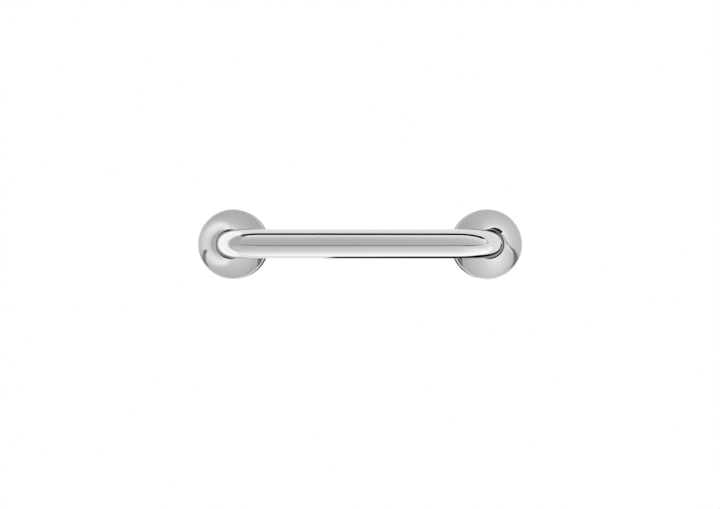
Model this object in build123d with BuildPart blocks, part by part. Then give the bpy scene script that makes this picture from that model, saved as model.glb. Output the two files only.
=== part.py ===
from build123d import *
from math import cos, radians, sqrt, tan
import os

# A wall grab bar: one tube bent into a U, welded at each end into a screw plate, with a drawn sheet
# cover pushed over each plate to hide the screws. Millimetres. The wall is the plane y = 0, the bar
# stands out along -Y, +X runs along it and +Z is up. The origin is on the wall, midway between the legs.

# Tube
leg_spacing = 304.8             # centre to centre of the two legs
tube_diameter = 31.75           # outside
tube_wall = 1.2
wall_clearance = 38.1           # hand room between the wall and the bar
tube_end_recess = 0.5           # the tube stops short of the wall by this much

# Screw plates and the welds that join them to the tube
flange_thickness = 3.2
flange_bore_clearance = 0.1     # radial, round the tube
screw_count = 3
screw_circle_diameter = 57.15
screw_hole_diameter = 7.0
weld_leg = 3.0                  # along the plate and along the tube
weld_to_bend = 3.0              # straight tube left between the weld and the bend

# Push-fit covers
cover_diameter = 83.8           # outside, at the wall
cover_sheet = 0.8
cover_height = 17.6             # from the wall to the edge of the tube's hole
cover_skirt_height = 9.2        # from the wall to the corner between skirt and flare, before rounding
cover_skirt_draft = 0.5         # degrees, the skirt narrows away from the wall
cover_shoulder_radius = 1.8     # outside radius of that corner
cover_flare_radius = 60.0       # of the hollow curve that rises from that corner to the tube
cover_hole_clearance = 0.3      # least gap between the tube and the hole's edge
cover_slip_gap = 1.2            # radial, between the plate's rim and the skirt

# Nibs on the plate's rim that grip the skirt from inside
nib_count = 3
nib_radius = 4.0
nib_grip_gap = 0.15             # between a nib's tip and the skirt

leg_x = leg_spacing / 2
tube_radius = tube_diameter / 2
axis_height = wall_clearance + tube_radius
weld_top = flange_thickness + weld_leg
bend_start = weld_top + weld_to_bend
bend_radius = axis_height - bend_start

# The skirt leans inwards, so the plate and its nibs are sized at the height of the plate's front face
skirt_slope = tan(radians(cover_skirt_draft))
skirt_sheet = cover_sheet / cos(radians(cover_skirt_draft))
cover_radius = cover_diameter / 2
skirt_inner_radius = cover_radius - skirt_sheet - flange_thickness * skirt_slope
flange_radius = skirt_inner_radius - cover_slip_gap
nib_centre_radius = skirt_inner_radius - nib_grip_gap - nib_radius

corner_radius = cover_radius - cover_skirt_height * skirt_slope

# The tube is already bending where it leaves the cover, so the hole clears its inner side at that height
bend_rise = max(cover_height - bend_start, 0)
tube_reach = bend_radius - sqrt((bend_radius - tube_radius) ** 2 - bend_rise**2)
hole_radius = tube_reach + cover_hole_clearance

os.makedirs("parts", exist_ok=True)

# Tube: two legs, two bends and the straight grip, swept in one piece and open at both ends
with BuildPart() as grab_bar_tube:
    with BuildLine(Plane.XY) as centre_line:
        FilletPolyline(
            (-leg_x, -tube_end_recess),
            (-leg_x, -axis_height),
            (leg_x, -axis_height),
            (leg_x, -tube_end_recess),
            radius=bend_radius,
        )
    with BuildSketch(Plane(centre_line.line @ 0, z_dir=centre_line.line % 0)):
        Circle(tube_radius)
        Circle(tube_radius - tube_wall, mode=Mode.SUBTRACT)
    sweep()
grab_bar_tube.part.label = "grab_bar_tube"
export_step(grab_bar_tube.part, "parts/grab_bar_tube.step")

for side, x in (("left", -leg_x), ("right", leg_x)):
    # The wall under this leg, facing out, and the plane through the leg that the turned profiles lie in
    wall = Plane((x, 0, 0), x_dir=(1, 0, 0), z_dir=(0, -1, 0))
    profile_plane = Plane((x, 0, 0), x_dir=(1, 0, 0), z_dir=(0, 0, -1))
    leg_axis = Axis((x, 0, 0), (0, -1, 0))

    # Screw plate: a blanked disc with the tube's bore, the screw holes and the nibs between them
    with BuildPart() as flange:
        with BuildSketch(wall):
            Circle(flange_radius)
            with PolarLocations(nib_centre_radius, nib_count, start_angle=-90):
                Circle(nib_radius)
            Circle(tube_radius + flange_bore_clearance, mode=Mode.SUBTRACT)
            with PolarLocations(screw_circle_diameter / 2, screw_count, start_angle=90):
                Circle(screw_hole_diameter / 2, mode=Mode.SUBTRACT)
        extrude(amount=flange_thickness)
    flange.part.label = f"{side}_mounting_flange"
    export_step(flange.part, f"parts/{side}_mounting_flange.step")

    # Weld: a fillet bead in the corner between the plate's front and the tube
    with BuildPart() as weld:
        with BuildSketch(profile_plane):
            with BuildLine():
                Polyline(
                    (tube_radius, flange_thickness),
                    (tube_radius + weld_leg, flange_thickness),
                    (tube_radius, weld_top),
                    close=True,
                )
            make_face()
        revolve(axis=leg_axis)
    weld.part.label = f"{side}_weld_bead"
    export_step(weld.part, f"parts/{side}_weld_bead.step")

    # Cover: one skin of sheet, up the skirt, round the shoulder and up the flare to the tube, trimmed square
    # at the wall and at the hole
    with BuildPart() as cover:
        with BuildSketch(profile_plane):
            with BuildLine() as skin:
                skirt = Line((cover_radius, 0), (corner_radius, cover_skirt_height))
                RadiusArc(skirt @ 1, (hole_radius, cover_height), cover_flare_radius)
                fillet(skin.vertices().sort_by_distance(skirt @ 1)[0], cover_shoulder_radius)
                offset(amount=cover_sheet, side=Side.LEFT)
            make_face()
            with Locations((hole_radius, 0)):
                Rectangle(cover_diameter, axis_height, align=Align.MIN, mode=Mode.INTERSECT)
        revolve(axis=leg_axis)
    cover.part.label = f"{side}_flange_cover"
    export_step(cover.part, f"parts/{side}_flange_cover.step")
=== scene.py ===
import math

import bmesh
import bpy
from mathutils import Matrix, Vector


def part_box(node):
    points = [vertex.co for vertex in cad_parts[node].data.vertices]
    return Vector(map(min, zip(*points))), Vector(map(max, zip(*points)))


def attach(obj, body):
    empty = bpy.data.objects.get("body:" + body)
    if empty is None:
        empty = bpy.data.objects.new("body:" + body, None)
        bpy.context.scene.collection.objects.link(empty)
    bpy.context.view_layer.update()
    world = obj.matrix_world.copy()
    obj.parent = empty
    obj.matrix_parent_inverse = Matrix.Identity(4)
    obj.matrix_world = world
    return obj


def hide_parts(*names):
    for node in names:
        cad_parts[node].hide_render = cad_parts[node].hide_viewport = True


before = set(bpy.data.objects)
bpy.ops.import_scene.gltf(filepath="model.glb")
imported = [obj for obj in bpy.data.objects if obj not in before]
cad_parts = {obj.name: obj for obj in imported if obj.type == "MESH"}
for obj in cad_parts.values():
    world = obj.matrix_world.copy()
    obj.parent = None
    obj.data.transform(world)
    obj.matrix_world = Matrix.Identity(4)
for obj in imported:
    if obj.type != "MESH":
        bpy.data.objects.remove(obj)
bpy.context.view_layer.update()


# Bent tube: one length of 18 gauge stainless tube, drawn round two bends and mirror polished outside.
# The bore keeps its drawn finish. Both ends are cut square, deburred and stop just short of the wall.
tube_low, tube_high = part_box("grab_bar_tube")
tube_radius = tube_high.z
tube_wall = 0.0012
leg_x = tube_high.x - tube_radius
leg_end_y = tube_high.y
bar_y = tube_low.y + tube_radius
bend_start_y = -0.0092
bend_radius = bend_start_y - bar_y
tube_sides = 128
bend_steps = 60
run_end = 0.002  # first and last step of a straight run, which keeps the bends' shading out of it
deburr = 0.0002
sharp_angle = math.radians(50)
crease_angle = math.radians(25)
bore_mottle = 0.004


def linear(hex_colour):
    """An sRGB hex colour as linear RGBA."""
    channels = [int(hex_colour[i:i + 2], 16) / 255 for i in (1, 3, 5)]
    return [c / 12.92 if c <= 0.04045 else ((c + 0.055) / 1.055) ** 2.4 for c in channels] + [1.0]


def add_node(tree, kind, inputs=(), **settings):
    """Adds a node with its settings and feeds its inputs, which are given by name or in order.

    An input takes a value, another node's output, or a node, which stands for its first output.
    """
    node = tree.nodes.new(kind)
    for name, value in settings.items():
        setattr(node, name, value)
    by_socket = inputs.items() if isinstance(inputs, dict) else enumerate(inputs)
    for socket, value in by_socket:
        if isinstance(value, bpy.types.Node):
            value = value.outputs[0]
        if isinstance(value, bpy.types.NodeSocket):
            tree.links.new(value, node.inputs[socket])
        else:
            node.inputs[socket].default_value = value
    return node


def new_material(name):
    """An empty node material and its tree."""
    material = bpy.data.materials.new(name)
    material.use_nodes = True
    material.node_tree.nodes.clear()
    return material, material.node_tree


def polished_stainless(name, hex_colour):
    """Mirror-polished stainless steel, buffed with a soft mop.

    Bright grey, with sharp reflections and a faint haze that comes and goes over a few centimetres.
    """
    haze_size = 0.030
    material, tree = new_material(name)
    place = add_node(tree, "ShaderNodeTexCoord").outputs["Object"]
    haze = add_node(tree, "ShaderNodeTexNoise", {"Vector": place, "Scale": 1 / haze_size, "Detail": 3.0})
    roughness = add_node(tree, "ShaderNodeMapRange", {"Value": haze, "To Min": 0.05, "To Max": 0.09})
    steel = add_node(
        tree,
        "ShaderNodeBsdfPrincipled",
        {"Base Color": linear(hex_colour), "Metallic": 1.0, "Roughness": roughness},
    )
    add_node(tree, "ShaderNodeOutputMaterial", {"Surface": steel})
    return material


def plain_stainless(name, light, dark, grain, stretch=1.0):
    """Stainless steel that was never polished: duller, and mottled in two greys.

    A mottle is as wide as the grain, and along X it is longer by the stretch.
    """
    material, tree = new_material(name)
    place = add_node(tree, "ShaderNodeTexCoord").outputs["Object"]
    stretched = add_node(tree, "ShaderNodeMapping", {"Vector": place, "Scale": (1 / stretch, 1.0, 1.0)})
    mottle = add_node(tree, "ShaderNodeTexNoise", {"Vector": stretched, "Scale": 1 / grain, "Detail": 4.0})
    share = add_node(tree, "ShaderNodeMapRange", {"Value": mottle, "From Min": 0.35, "From Max": 0.65})
    # A Mix node's inputs 6 and 7 and its output 2 are the ones for colours
    greys = {"Factor": share, 6: linear(light), 7: linear(dark)}
    grey = add_node(tree, "ShaderNodeMix", greys, data_type="RGBA").outputs[2]
    roughness = add_node(tree, "ShaderNodeMapRange", {"Value": share, "To Min": 0.25, "To Max": 0.45})
    steel = add_node(
        tree,
        "ShaderNodeBsdfPrincipled",
        {"Base Color": grey, "Metallic": 1.0, "Roughness": roughness},
    )
    add_node(tree, "ShaderNodeOutputMaterial", {"Surface": steel})
    return material


def only_edges(geometry):
    """The edges among what an operator hands back."""
    return [e for e in geometry if isinstance(e, bmesh.types.BMEdge)]


def only_verts(geometry):
    """The vertices among what an operator hands back."""
    return [v for v in geometry if isinstance(v, bmesh.types.BMVert)]


def straight_run(bm, edges, run):
    """Extrudes a loop along a vector in three steps and returns the loop at the far end."""
    for step in (run_end, run.length - 2 * run_end, run_end):
        geometry = bmesh.ops.extrude_edge_only(bm, edges=edges)["geom"]
        bmesh.ops.translate(bm, verts=only_verts(geometry), vec=run.normalized() * step)
        edges = only_edges(geometry)
    return edges


def thicken(bm, wall):
    """Gives a skin its wall on the inner side, and the wall's inner and cut faces the second material."""
    bmesh.ops.recalc_face_normals(bm, faces=bm.faces)
    inside = bmesh.ops.solidify(bm, geom=bm.faces[:], thickness=wall)["geom"]
    for face in inside:
        if isinstance(face, bmesh.types.BMFace):
            face.material_index = 1


def break_edges(bm):
    """Takes the sharpness off the cut edges."""
    sharp = [e for e in bm.edges if e.is_manifold and e.calc_face_angle() > sharp_angle]
    bmesh.ops.bevel(
        bm,
        geom=sharp,
        offset=deburr,
        affect="EDGES",
        segments=2,
        profile=0.5,
        material=-1,
        clamp_overlap=True,
    )


def new_object(bm, name, *materials):
    """Turns a finished bmesh into an object with those materials."""
    mesh = bpy.data.meshes.new(name)
    bm.to_mesh(mesh)
    bm.free()
    for material in materials:
        mesh.materials.append(material)
    made = bpy.data.objects.new(name, mesh)
    bpy.context.scene.collection.objects.link(made)
    return made


def make_piece(bm, name, node, slot, *materials):
    """Turns a finished bmesh into a smooth piece that stands for a CAD node."""
    piece = new_object(bm, name, *materials)
    piece.data.shade_smooth()
    piece.data.set_sharp_from_angle(angle=crease_angle)
    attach(piece, "root")
    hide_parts(node)


leg_run = Vector((0, bend_start_y - leg_end_y, 0))
grip_run = Vector((2 * (leg_x - bend_radius), 0, 0))
left_end = Matrix.Translation((-leg_x, leg_end_y, 0)) @ Matrix.Rotation(math.pi / 2, 4, "X")
bm = bmesh.new()
bmesh.ops.create_circle(bm, segments=tube_sides, radius=tube_radius, matrix=left_end)
edges = straight_run(bm, bm.edges[:], leg_run)
for bend_x, next_run in ((bend_radius - leg_x, grip_run), (leg_x - bend_radius, -leg_run)):
    bend = bmesh.ops.spin(
        bm,
        geom=edges,
        cent=(bend_x, bend_start_y, 0),
        axis=(0, 0, 1),
        angle=math.pi / 2,
        steps=bend_steps,
    )
    edges = straight_run(bm, only_edges(bend["geom_last"]), next_run)
thicken(bm, tube_wall)
break_edges(bm)
make_piece(
    bm,
    "polished_tube",
    "grab_bar_tube",
    "polished_tube",
    polished_stainless("mirror_polished_stainless_tube", "#dadadb"),
    plain_stainless("drawn_stainless_bore", "#dbdad8", "#cfcecc", bore_mottle),
)


# Screw plates: blanked stainless discs with three holes, welded to the tube and screwed to the wall.
# Their mill finish stays, since the covers hide them: dull, with lines along the way the sheet was rolled.
# Real rolling lines are finer. These are as coarse as they need to be to show.
sides = ("left", "right")
rolling_line = 0.0008
rolling_stretch = 30.0


def finish_node(name, material):
    """Gives a piece that keeps its CAD mesh its finish."""
    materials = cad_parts[name].data.materials
    materials.clear()
    materials.append(material)


plate_steel = plain_stainless(
    "mill_finish_stainless_plate", "#bcbcbb", "#a9a9a8", rolling_line, rolling_stretch
)
for side in sides:
    finish_node(f"{side}_mounting_flange", plate_steel)


# Weld beads: a fillet of filler metal between each plate and the tube, hidden under the covers.
# They are left as welded, dull and with a straw tint that comes and goes along the bead.
weld_mottle = 0.0015
weld_steel = plain_stainless("as_welded_stainless", "#b0aca4", "#9c9183", weld_mottle)
for side in sides:
    finish_node(f"{side}_weld_bead", weld_steel)


# Covers: stainless sheet drawn into a bell that flares from the tube to a skirt, mirror polished outside.
# Each is pushed along the tube and grips the nibs on the rim of its screw plate.
cover_sheet = 0.0008
skirt_height = 0.0092
skirt_draft = math.radians(0.5)
shoulder_radius = 0.0018
flare_radius = 0.060
hole_clearance = 0.0003
skirt_steps = 6
shoulder_steps = 20
flare_steps = 32
cover_sides = 192
same_point = 1e-6
cover_mottle = 0.004
# The covers' steel is set a little darker than the tube's: painted shade on the covers.
shaded_cover_polish = polished_stainless("mirror_polished_stainless_cover", "#d6d6d7")
# Their insides are drawn steel with its mottle, painted darker as the shade inside the covers that shows
# through the gap round the tube.
cover_inside_painted_darker = plain_stainless("drawn_stainless_cover_inside_with_painted_shade", "#929190", "#858482", cover_mottle)


def sweep_vert(bm, vert, centre, angle, steps):
    """Draws an arc from a vertex about a point of the profile's plane and returns the vertex at its end."""
    arc = bmesh.ops.spin(
        bm,
        geom=[vert],
        cent=(*centre, 0),
        axis=(0, 0, 1),
        angle=angle,
        steps=steps,
        use_duplicate=False,
    )
    return only_verts(arc["geom_last"])[0]


for side in sides:
    cover_low, cover_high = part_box(f"{side}_flange_cover")
    cover_x = (cover_low.x + cover_high.x) / 2
    cover_radius = cover_high.z
    # The tube is already bending where it leaves the cover, so the hole clears its inner side at that height
    hole_rise = bend_start_y - cover_low.y
    tube_reach = bend_radius - math.sqrt((bend_radius - tube_radius) ** 2 - hole_rise**2)
    hole_radius = tube_reach + hole_clearance
    rim = Vector((cover_x + cover_radius, 0))
    corner = rim + Vector((-math.tan(skirt_draft), -1)) * skirt_height
    hole = Vector((cover_x + hole_radius, cover_low.y))
    # Centre of the flare's arc: on the open side of the chord from the corner to the hole
    chord = hole - corner
    flare_depth = math.sqrt(flare_radius**2 - chord.length_squared / 4)
    flare_centre = (corner + hole) / 2 + Vector((-chord.y, chord.x)).normalized() * flare_depth
    # Centre of the shoulder's arc: its radius in from the skirt, and outside the flare's circle by the same
    skirt_out = Vector((math.cos(skirt_draft), -math.sin(skirt_draft)))
    skirt_up = (corner - rim).normalized()
    inner_rim = rim - skirt_out * shoulder_radius
    flare_up = (flare_centre - inner_rim).dot(skirt_up)
    flare_across = (flare_centre - inner_rim).dot(skirt_out)
    skirt_rise = flare_up - math.sqrt((flare_radius + shoulder_radius) ** 2 - flare_across**2)
    shoulder_centre = inner_rim + skirt_up * skirt_rise
    shoulder_turn = -skirt_out.angle_signed(flare_centre - shoulder_centre)

    bm = bmesh.new()
    foot = bm.verts.new((*rim, 0))
    skirt_top = bm.verts.new((*(rim + skirt_up * skirt_rise), 0))
    skirt = bm.edges.new((foot, skirt_top))
    flare_foot = sweep_vert(bm, skirt_top, shoulder_centre, shoulder_turn, shoulder_steps)
    flare_turn = -(flare_foot.co.xy - flare_centre).angle_signed(hole - flare_centre)
    sweep_vert(bm, flare_foot, flare_centre, flare_turn, flare_steps)
    bmesh.ops.subdivide_edges(bm, edges=[skirt], cuts=skirt_steps - 1)
    bmesh.ops.spin(
        bm,
        geom=bm.edges[:],
        cent=(cover_x, 0, 0),
        axis=(0, 1, 0),
        angle=2 * math.pi,
        steps=cover_sides,
        use_merge=True,
    )
    bmesh.ops.remove_doubles(bm, verts=bm.verts, dist=same_point)
    thicken(bm, cover_sheet)
    break_edges(bm)
    make_piece(
        bm,
        f"{side}_polished_cover",
        f"{side}_flange_cover",
        "polished_cover",
        shaded_cover_polish,
        cover_inside_painted_darker,
    )


# Studio walls: a wide grey wall in front of the bar, lighter to the right and to the top, and a plain one on
# the left. They are cards that glow by themselves and show only as reflections, as the next ones do.
floor_z = -0.55
front_y = -1.50
front_foot_z = -0.40
wall_top_z = 3.50
left_x = -2.50
right_x = 4.50
left_back_y = -0.10
front_grey = 0.59
front_right_grey = 1.08
front_top_gain = 0.74  # at the very top, and less with the square of the height
left_grey = 0.57


def stage_card(name, upper, lower, material, reflection_only=True):
    """A card between two rows of points."""
    bm = bmesh.new()
    rows = [[bm.verts.new(point) for point in row] for row in (upper, lower)]
    edges = [bm.edges.new(ends) for row in rows for ends in zip(row, row[1:])]
    bmesh.ops.bridge_loops(bm, edges=edges)
    card = new_object(bm, name, material)
    card.visible_camera = not reflection_only
    card.visible_diffuse = not reflection_only
    card.visible_shadow = not reflection_only


def upright_card(name, foot, other_foot, low, high, material):
    """An upright card over the line between two points of the plan."""
    feet = (foot, other_foot)
    stage_card(name, [(*f, high) for f in feet], [(*f, low) for f in feet], material)


def glow(name, strength):
    """A card's material that shines evenly."""
    material, tree = new_material(name)
    light = add_node(tree, "ShaderNodeEmission", {"Strength": strength})
    add_node(tree, "ShaderNodeOutputMaterial", {"Surface": light})
    return material


def dimmed_for_painted_shade(tree, strength, twice_mirrored):
    """A light's strength, of which only that share is left where it comes by way of two mirrors: painted
    shade where one polished part mirrors another, as where the tube meets the covers.
    """
    # A Map Range node's inputs in order: a value, the range that it runs through, and what it gives there
    mirrors = add_node(tree, "ShaderNodeLightPath").outputs["Glossy Depth"]
    share = add_node(tree, "ShaderNodeMapRange", (mirrors, 1.0, 2.0, 1.0, twice_mirrored))
    return add_node(tree, "ShaderNodeMath", (strength, share), operation="MULTIPLY")


front_wall, tree = new_material("grey_front_wall")
place = add_node(tree, "ShaderNodeTexCoord").outputs["Object"]
axes = add_node(tree, "ShaderNodeSeparateXYZ", {"Vector": place}).outputs
to_right = add_node(tree, "ShaderNodeMapRange", (axes["X"], 0.0, right_x, front_grey, front_right_grey))
to_top = add_node(tree, "ShaderNodeMapRange", (axes["Z"], 0.0, wall_top_z, 0.0, math.sqrt(front_top_gain)))
grey = add_node(tree, "ShaderNodeMath", (to_top, to_top, to_right), operation="MULTIPLY_ADD")
# Seen by way of two mirrors the wall is dimmer: painted shade where polished parts mirror each other.
light = add_node(tree, "ShaderNodeEmission", {"Strength": dimmed_for_painted_shade(tree, grey, twice_mirrored=0.28)})
add_node(tree, "ShaderNodeOutputMaterial", {"Surface": light})
upright_card("front_wall", (left_x, front_y), (right_x, front_y), front_foot_z, wall_top_z, front_wall)
left_wall = glow("grey_left_wall", left_grey)
upright_card("left_wall", (left_x, front_y), (left_x, left_back_y), floor_z, wall_top_z, left_wall)


# Dark gap and wall end: painted shade, as a dark strip along the foot of the front wall and the edge that
# turns up from it round the wall's right end. The steel mirrors them as the thin line along the bar and
# round its right bend, and as the dark patches low on the covers.
gap_y = front_y + 0.01
gap_shade = 0.21
gap_upper = [(-2.50, -0.28), (0.50, -0.26), (0.85, -0.26), (1.20, -0.26), (2.50, -0.22), (3.20, -0.19)]
gap_lower = [(-2.50, -0.41), (0.50, -0.40), (0.85, -0.52), (1.20, -0.46), (2.50, -0.35), (3.20, -0.31)]
end_shade = 0.30
end_inner = [
    (3.20, -0.19), (3.95, 0.06), (5.05, 0.50), (5.90, 1.25), (5.95, 1.75), (5.45, 2.25), (4.90, 2.30)
]
end_outer = [
    (3.20, -0.31), (4.30, -0.05), (5.60, 0.32), (6.75, 1.10), (6.90, 2.00), (6.00, 2.75), (4.90, 2.80)
]


def cut_out_card(name, y, upper, lower, material):
    """A card at one depth, cut out between two rows of points that give X and Z."""
    stage_card(name, [(x, y, z) for x, z in upper], [(x, y, z) for x, z in lower], material)


cut_out_card("front_gap", gap_y, gap_upper, gap_lower, glow("painted_shade_in_gap", gap_shade))
cut_out_card("wall_end", gap_y, end_inner, end_outer, glow("painted_shade_at_wall_end", end_shade))


# Black flags: a long strip of black cloth over the bar, and a wider one low behind it with a soft left edge.
# The steel mirrors them as the dark line along the bar's top and the black line under its right half.
overhead_z = 0.60
overhead_back = [(-0.68, -0.027), (0.20, -0.067), (1.15, -0.267)]
overhead_front = [(-0.68, -0.227), (0.20, -0.272), (1.15, -0.467)]
stage_card(
    "overhead_flag",
    [(x, y, overhead_z) for x, y in overhead_back],
    [(x, y, overhead_z) for x, y in overhead_front],
    glow("black_cloth", 0.0),
)

rear_y = 0.20
rear_edge_x = -0.07
rear_black_x = -0.045
rear_upper = [(rear_edge_x, -0.035), (0.10, -0.035), (0.22, -0.03), (0.48, 0.01)]
rear_lower = [(rear_edge_x, -0.38), (0.10, -0.44), (0.22, -0.46), (0.48, -0.58)]
rear_cloth, tree = new_material("black_cloth_with_soft_edge")
place = add_node(tree, "ShaderNodeTexCoord").outputs["Object"]
axes = add_node(tree, "ShaderNodeSeparateXYZ", {"Vector": place}).outputs
soft_edge = add_node(
    tree,
    "ShaderNodeMapRange",
    (axes["X"], rear_edge_x, rear_black_x, 1.0, 0.0),
    interpolation_type="SMOOTHSTEP",
)
light = add_node(tree, "ShaderNodeEmission", {"Strength": soft_edge})
add_node(tree, "ShaderNodeOutputMaterial", {"Surface": light})
cut_out_card("rear_flag", rear_y, rear_upper, rear_lower, rear_cloth)


# Softbox: a white cloth on the left that fades to the left wall's grey at its front edge.
# The steel mirrors it in the left bend and on the outer half of the left cover.
softbox_x = -0.60
softbox_front_y = -0.14
softbox_white_y = -0.02
softbox_back_y = 0.60
softbox_half_height = 0.75
softbox_white = 1.25
softbox_cloth, tree = new_material("white_softbox_cloth")
place = add_node(tree, "ShaderNodeTexCoord").outputs["Object"]
axes = add_node(tree, "ShaderNodeSeparateXYZ", {"Vector": place}).outputs
to_white = add_node(
    tree,
    "ShaderNodeMapRange",
    (axes["Y"], softbox_front_y, softbox_white_y, left_grey, softbox_white),
    interpolation_type="SMOOTHSTEP",
)
light = add_node(tree, "ShaderNodeEmission", {"Strength": to_white})
add_node(tree, "ShaderNodeOutputMaterial", {"Surface": light})
upright_card(
    "left_softbox",
    (softbox_x, softbox_front_y),
    (softbox_x, softbox_back_y),
    -softbox_half_height,
    softbox_half_height,
    softbox_cloth,
)


# Curved card: a white card round the outer half of the left cover, thin at its edges, and a dark stick
# across its lower half. Both face the wall, and the cover mirrors them as a bright arc with a dark dash.
card_y = -0.045
card_inner = 0.060
card_outer = 0.115
card_inner_edge = (0.062, 0.0735)    # radii, from the first of it to its full thickness
card_outer_edge = (0.0755, card_outer)
card_ends = (-0.192, -0.158)         # X, from its full thickness to its ends
card_white_z = (0.01, 0.05)          # above and below its middle it gets brighter
card_white = (0.99, 1.20)
card_turns = [math.radians(angle) for angle in range(95, 266, 5)]  # from above the leg round to below it
stick_y = card_y + 0.0005
stick_grey = 0.25
stick_outer = [(-0.2290, -0.0135), (-0.2180, -0.0228), (-0.2089, -0.0327), (-0.2031, -0.0380)]
stick_inner = [(-0.2225, -0.0105), (-0.2159, -0.0197), (-0.2090, -0.0307), (-0.2037, -0.0365)]


def face_the_wall(tree, thickness, brightness):
    """Makes a card shine on the side towards the wall, and lets its other side be seen through."""
    towards_wall = add_node(tree, "ShaderNodeNewGeometry").outputs["Backfacing"]
    shown = add_node(tree, "ShaderNodeMath", (thickness, towards_wall), operation="MULTIPLY")
    clear = add_node(tree, "ShaderNodeBsdfTransparent")
    light = add_node(tree, "ShaderNodeEmission", {"Strength": brightness})
    card = add_node(tree, "ShaderNodeMixShader", (shown, clear, light))
    add_node(tree, "ShaderNodeOutputMaterial", {"Surface": card})


def points_round_leg(axis_x, radius, y, turns):
    """Points on a circle about a leg's axis."""
    return [(axis_x + radius * math.cos(t), y, radius * math.sin(t)) for t in turns]


curved_card, tree = new_material("curved_white_card")
place = add_node(tree, "ShaderNodeTexCoord").outputs["Object"]
axes = add_node(tree, "ShaderNodeSeparateXYZ", {"Vector": place}).outputs
about_leg = {"Vector": place, "Location": (leg_x, 0, 0), "Scale": (1, 0, 1)}
from_leg = add_node(tree, "ShaderNodeMapping", about_leg)
radius = add_node(tree, "ShaderNodeVectorMath", (from_leg,), operation="LENGTH").outputs["Value"]
inner_edge, outer_edge, ends = [
    add_node(tree, "ShaderNodeMapRange", fade, interpolation_type="SMOOTHSTEP")
    for fade in (
        (radius, *card_inner_edge, 0.0, 1.0),
        (radius, *card_outer_edge, 1.0, 0.0),
        (axes["X"], *card_ends, 1.0, 0.0),
    )
]
band = add_node(tree, "ShaderNodeMath", (inner_edge, outer_edge), operation="MULTIPLY")
thickness = add_node(tree, "ShaderNodeMath", (band, ends), operation="MULTIPLY")
height = add_node(tree, "ShaderNodeMath", (axes["Z"],), operation="ABSOLUTE")
brightness = add_node(tree, "ShaderNodeMapRange", (height, *card_white_z, *card_white))
face_the_wall(tree, thickness, brightness)
stage_card(
    "curved_card",
    points_round_leg(-leg_x, card_outer, card_y, card_turns),
    points_round_leg(-leg_x, card_inner, card_y, card_turns),
    curved_card,
)
dark_stick, tree = new_material("dark_stick")
face_the_wall(tree, 1.0, stick_grey)
cut_out_card("dark_stick", stick_y, stick_outer, stick_inner, dark_stick)


# Wall next to the covers: a narrow ring of white wall round each foot, with a painted shadow line inside it.
# The covers' shoulders mirror it. The painted shadow fades upwards, and above the left cover the wall is
# painted greyer, as shade.
ring_y = 0.0005
ring_inner = cover_radius - 0.002
ring_outer = cover_radius + 0.004
shadow_edge = (cover_radius + 0.0017, cover_radius + 0.0021)
shadow_z = (-0.005, 0.035)
shadow_top_grey = 0.60
half_edge = (-0.01, 0.01)
ring_white = 1.30
top_left_painted_shade = 0.60
ring_sides = 96
ring_turns = [2 * math.pi * i / ring_sides for i in range(ring_sides + 1)]
ring_with_painted_shadow, tree = new_material("white_wall_with_painted_shadow_line")
place = add_node(tree, "ShaderNodeTexCoord").outputs["Object"]
axes = add_node(tree, "ShaderNodeSeparateXYZ", {"Vector": place}).outputs
either_side = add_node(tree, "ShaderNodeVectorMath", (place,), operation="ABSOLUTE")
about_leg = {"Vector": either_side, "Location": (-leg_x, 0, 0), "Scale": (1, 0, 1)}
from_leg = add_node(tree, "ShaderNodeMapping", about_leg)
radius = add_node(tree, "ShaderNodeVectorMath", (from_leg,), operation="LENGTH").outputs["Value"]
outside = add_node(tree, "ShaderNodeMapRange", (radius, *shadow_edge, 0.0, 1.0))
shadow = add_node(tree, "ShaderNodeMapRange", (axes["Z"], *shadow_z, 0.0, shadow_top_grey))
left_half = add_node(tree, "ShaderNodeMapRange", (axes["X"], *half_edge, 1.0, 0.0))
top_half = add_node(tree, "ShaderNodeMapRange", (axes["Z"], *half_edge, 0.0, top_left_painted_shade))
top_left_shade = add_node(tree, "ShaderNodeMath", (left_half, top_half), operation="MULTIPLY")
white = add_node(tree, "ShaderNodeMath", (ring_white, top_left_shade), operation="SUBTRACT")
lit = add_node(tree, "ShaderNodeMath", (outside, white), operation="MULTIPLY")
level = add_node(tree, "ShaderNodeMath", (lit, shadow), operation="MAXIMUM")
# Seen by way of two mirrors the ring is dimmer: painted shade where polished parts mirror each other.
light = add_node(tree, "ShaderNodeEmission", {"Strength": dimmed_for_painted_shade(tree, level, twice_mirrored=0.35)})
add_node(tree, "ShaderNodeOutputMaterial", {"Surface": light})
for axis_x in (-leg_x, leg_x):
    stage_card(
        "wall_by_the_cover",
        points_round_leg(axis_x, ring_outer, ring_y, ring_turns),
        points_round_leg(axis_x, ring_inner, ring_y, ring_turns),
        ring_with_painted_shadow,
    )


# Floor: pale and matt, and it takes the object's shadow. The steel mirrors instead a glow painted on it: an
# even ground, painted greyer at the front left, with a painted pool of light below the bar that fades to
# both sides and to the front.
floor_half_width = 2.5
floor_back_y = 0.19
floor_front_y = -2.60
pool_y = 0.10
ground = 0.70
floor_paint_and_painted_light, tree = new_material("matt_white_floor_paint_and_painted_light")
place = add_node(tree, "ShaderNodeTexCoord").outputs["Object"]
axes = add_node(tree, "ShaderNodeSeparateXYZ", {"Vector": place}).outputs
pool_width = add_node(tree, "ShaderNodeMapRange", (axes["X"], 0.20, 0.60, 0.36, 0.66))
pool_left = add_node(tree, "ShaderNodeMapRange", (axes["X"], -0.80, -0.25, 0.40, 1.0))
pool_right = add_node(tree, "ShaderNodeMapRange", (axes["X"], 0.30, 1.10, 0.68, 0.40))
to_front = add_node(tree, "ShaderNodeMath", (axes["Y"], pool_y), operation="SUBTRACT")
widths = add_node(tree, "ShaderNodeMath", (to_front, pool_width), operation="DIVIDE")
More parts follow.
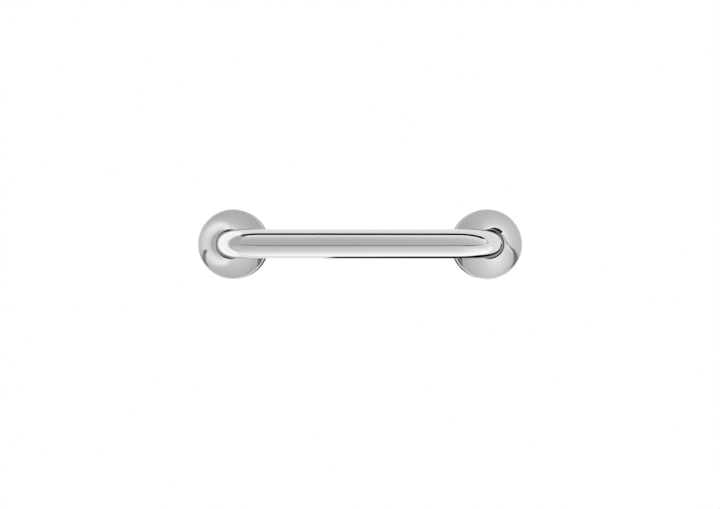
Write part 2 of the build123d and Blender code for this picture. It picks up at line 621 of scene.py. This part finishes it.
spread = add_node(tree, "ShaderNodeMath", (widths, widths, 1.0), operation="MULTIPLY_ADD")
brightest = add_node(tree, "ShaderNodeMath", (pool_left, pool_right), operation="MULTIPLY")
pool = add_node(tree, "ShaderNodeMath", (brightest, spread), operation="DIVIDE")
front = add_node(tree, "ShaderNodeMapRange", (axes["Y"], -1.45, -1.05, 1.0, 0.0))
front_left_painted_shade = add_node(tree, "ShaderNodeMapRange", (axes["X"], -0.75, -0.40, 0.0, -0.08))
even = add_node(tree, "ShaderNodeMath", (front, front_left_painted_shade, ground), operation="MULTIPLY_ADD")
left_share = add_node(tree, "ShaderNodeMapRange", (axes["X"], -0.25, 0.05, 0.94, 1.0))
right_gain = add_node(tree, "ShaderNodeMapRange", (axes["X"], 0.30, 0.80, 0.0, 0.12))
sideways = add_node(tree, "ShaderNodeMath", (left_share, right_gain), operation="ADD")
both = add_node(tree, "ShaderNodeMath", (pool, even), operation="ADD")
level = add_node(tree, "ShaderNodeMath", (both, sideways), operation="MULTIPLY")
# Seen by way of two mirrors the floor's glow is dimmer: painted shade where polished parts mirror each
# other.
light = add_node(tree, "ShaderNodeEmission", {"Strength": dimmed_for_painted_shade(tree, level, twice_mirrored=0.45)})
paint = add_node(tree, "ShaderNodeBsdfDiffuse", {"Color": linear("#ffffff")})
rays = add_node(tree, "ShaderNodeLightPath").outputs
mirrored = add_node(
    tree,
    "ShaderNodeMath",
    (rays["Is Glossy Ray"], rays["Is Transmission Ray"]),
    operation="MAXIMUM",
)
surface = add_node(tree, "ShaderNodeMixShader", (mirrored, paint, light))
add_node(tree, "ShaderNodeOutputMaterial", {"Surface": surface})
stage_card(
    "floor",
    [(x, floor_back_y, floor_z) for x in (-floor_half_width, floor_half_width)],
    [(x, floor_front_y, floor_z) for x in (-floor_half_width, floor_half_width)],
    floor_paint_and_painted_light,
    reflection_only=False,
)


# Surround: plain white all round. It is the background, and the soft light that falls on everything.
surround = bpy.data.worlds.new("white_surround")
bpy.context.scene.world = surround
surround.use_nodes = True
tree = surround.node_tree
tree.nodes.clear()
# Seen by way of two mirrors the surround is dimmer: painted shade where polished parts mirror each other.
white = {"Color": linear("#ffffff"), "Strength": dimmed_for_painted_shade(tree, 1.0, twice_mirrored=0.50)}
background = add_node(tree, "ShaderNodeBackground", white)
add_node(tree, "ShaderNodeOutputWorld", {"Surface": background})
bpy.context.scene.view_settings.view_transform = "Standard"


# Camera: straight in front of the bar and a little below it, about half a metre from the wall.
# The view is moved down by a few pixels, which brings the bar above the middle of the picture.
picture_width = 720  # pixels
view_drop = 6.1  # pixels
camera_distance = 0.530
camera_z = -0.005
wall_width_in_view = 0.876
camera_data = bpy.data.cameras.new("camera")
camera_data.sensor_width = 36
camera_data.lens = camera_data.sensor_width * camera_distance / wall_width_in_view
camera_data.shift_y = -view_drop / picture_width
camera = bpy.data.objects.new("camera", camera_data)
camera.location = (0, -camera_distance, camera_z)
camera.rotation_euler = (math.pi / 2, 0, 0)
bpy.context.scene.collection.objects.link(camera)
bpy.context.scene.camera = camera
